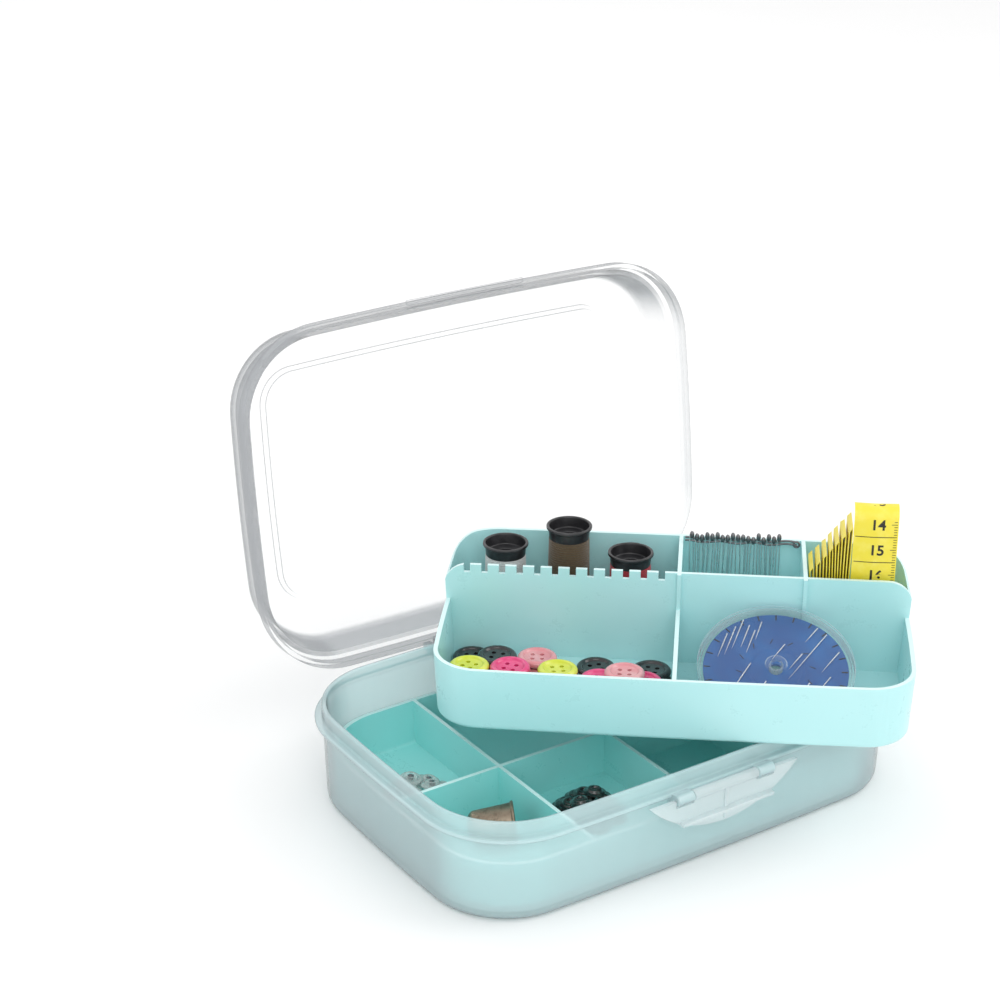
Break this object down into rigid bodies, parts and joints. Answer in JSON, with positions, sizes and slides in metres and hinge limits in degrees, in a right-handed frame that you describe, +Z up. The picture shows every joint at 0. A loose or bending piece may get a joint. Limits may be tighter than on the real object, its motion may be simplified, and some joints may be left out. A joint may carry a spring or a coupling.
{
  "type": "sewing box with trays",
  "caption": "Clear plastic sewing box with a hinged lid, a turquoise compartment insert and a lift-out tray holding thread, buttons, pins, a tape measure and a needle wheel.",
  "frame": {"origin": "middle of the box's footprint on the surface it stands on", "axes": "+X along the long side, -Y towards the clasp side, +Z up"},
  "size_m": [0.2109, 0.2065, 0.167],
  "materials": {
    "clear_plastic": "clear, high gloss",
    "turquoise_plastic": "glossy moulded",
    "black_plastic": "glossy moulded",
    "frosted_clear": "clear, slightly frosted",
    "white_thread": "wound thread",
    "brown_thread": "wound thread",
    "red_thread": "wound thread",
    "yellow_tape": "coated woven tape",
    "bright_steel": "polished",
    "dark_steel": "satin",
    "copper_steel": "satin, dimpled",
    "blue_card": "smooth",
    "black_stud": "glossy lacquer",
    "yellow_button": "glossy",
    "black_button": "glossy",
    "deep_pink_button": "glossy",
    "pale_pink_button": "glossy"
  },
  "bodies": {
    "base": {"outer_box": "clear_plastic"},
    "lid": {"lid": "clear_plastic"},
    "clasp": {"clasp_flap": "frosted_clear"},
    "insert": {"compartment_insert": "turquoise_plastic", "clear_press_studs": "frosted_clear", "press_stud_centres": "dark_steel", "black_press_studs": "black_stud"},
    "thimble": {"thimble": "copper_steel"},
    "tray": {"upper_tray": "turquoise_plastic", "buttons_yellow": "yellow_button", "buttons_black": "black_button", "buttons_deep_pink": "deep_pink_button", "buttons_pale_pink": "pale_pink_button", "pins": "dark_steel", "pin_strip": "black_plastic"},
    "spool_white": {"spool_core_white": "black_plastic", "spool_thread_white": "white_thread"},
    "spool_brown": {"spool_core_brown": "black_plastic", "spool_thread_brown": "brown_thread"},
    "spool_red": {"spool_core_red": "black_plastic", "spool_thread_red": "red_thread"},
    "tape": {"tape_folds": "yellow_tape", "tape_front_strip": "yellow_tape", "tape_end_clip": "bright_steel"},
    "needle_wheel": {"needle_wheel_case": "clear_plastic", "needle_wheel_disc": "blue_card", "needle_wheel_hub": "clear_plastic", "needle_wheel_needles": "bright_steel"},
    "needle_cover": {"needle_wheel_cover": "clear_plastic"}
  },
  "joints": [
    {"name": "lid_hinge", "type": "hinge", "parent": "base", "child": "lid", "pos_m": [0, 0.0695, 0.0319], "axis": [-1, 0, 0], "range_deg": [-97, 0]},
    {"name": "clasp_hinge", "type": "hinge", "parent": "base", "child": "clasp", "pos_m": [0, -0.0694, 0.0328], "axis": [-1, 0, 0], "range_deg": [0, 180]},
    {"name": "insert_lift", "type": "slide", "parent": "base", "child": "insert", "axis": [0, 0, 1], "range_m": [0, 0.06]},
    {"name": "thimble_lift", "type": "slide", "parent": "insert", "child": "thimble", "axis": [0, 0, 1], "range_m": [0, 0.05]},
    {"name": "tray_slide", "type": "slide", "parent": "insert", "child": "tray", "axis": [0, -1, 0], "range_m": [0, 0.26]},
    {"name": "white_spool_lift", "type": "slide", "parent": "tray", "child": "spool_white", "axis": [0, 0, 1], "range_m": [0, 0.05]},
    {"name": "brown_spool_lift", "type": "slide", "parent": "tray", "child": "spool_brown", "axis": [0, 0, 1], "range_m": [0, 0.05]},
    {"name": "red_spool_lift", "type": "slide", "parent": "tray", "child": "spool_red", "axis": [0, 0, 1], "range_m": [0, 0.05]},
    {"name": "tape_lift", "type": "slide", "parent": "tray", "child": "tape", "axis": [0, 0, 1], "range_m": [0, 0.06]},
    {"name": "needle_wheel_lift", "type": "slide", "parent": "tray", "child": "needle_wheel", "axis": [0, 0, 1], "range_m": [0, 0.05]},
    {"name": "needle_cover_turn", "type": "hinge", "parent": "needle_wheel", "child": "needle_cover", "pos_m": [0.0419, -0.04507, 0.05227], "axis": [-0.2396, -0.2927, 0.9257], "continuous": true}
  ],
  "couplings": [
    {"joint": "tray_slide", "follows": "lid_hinge", "m_per_rad": -0.1535}
  ]
}
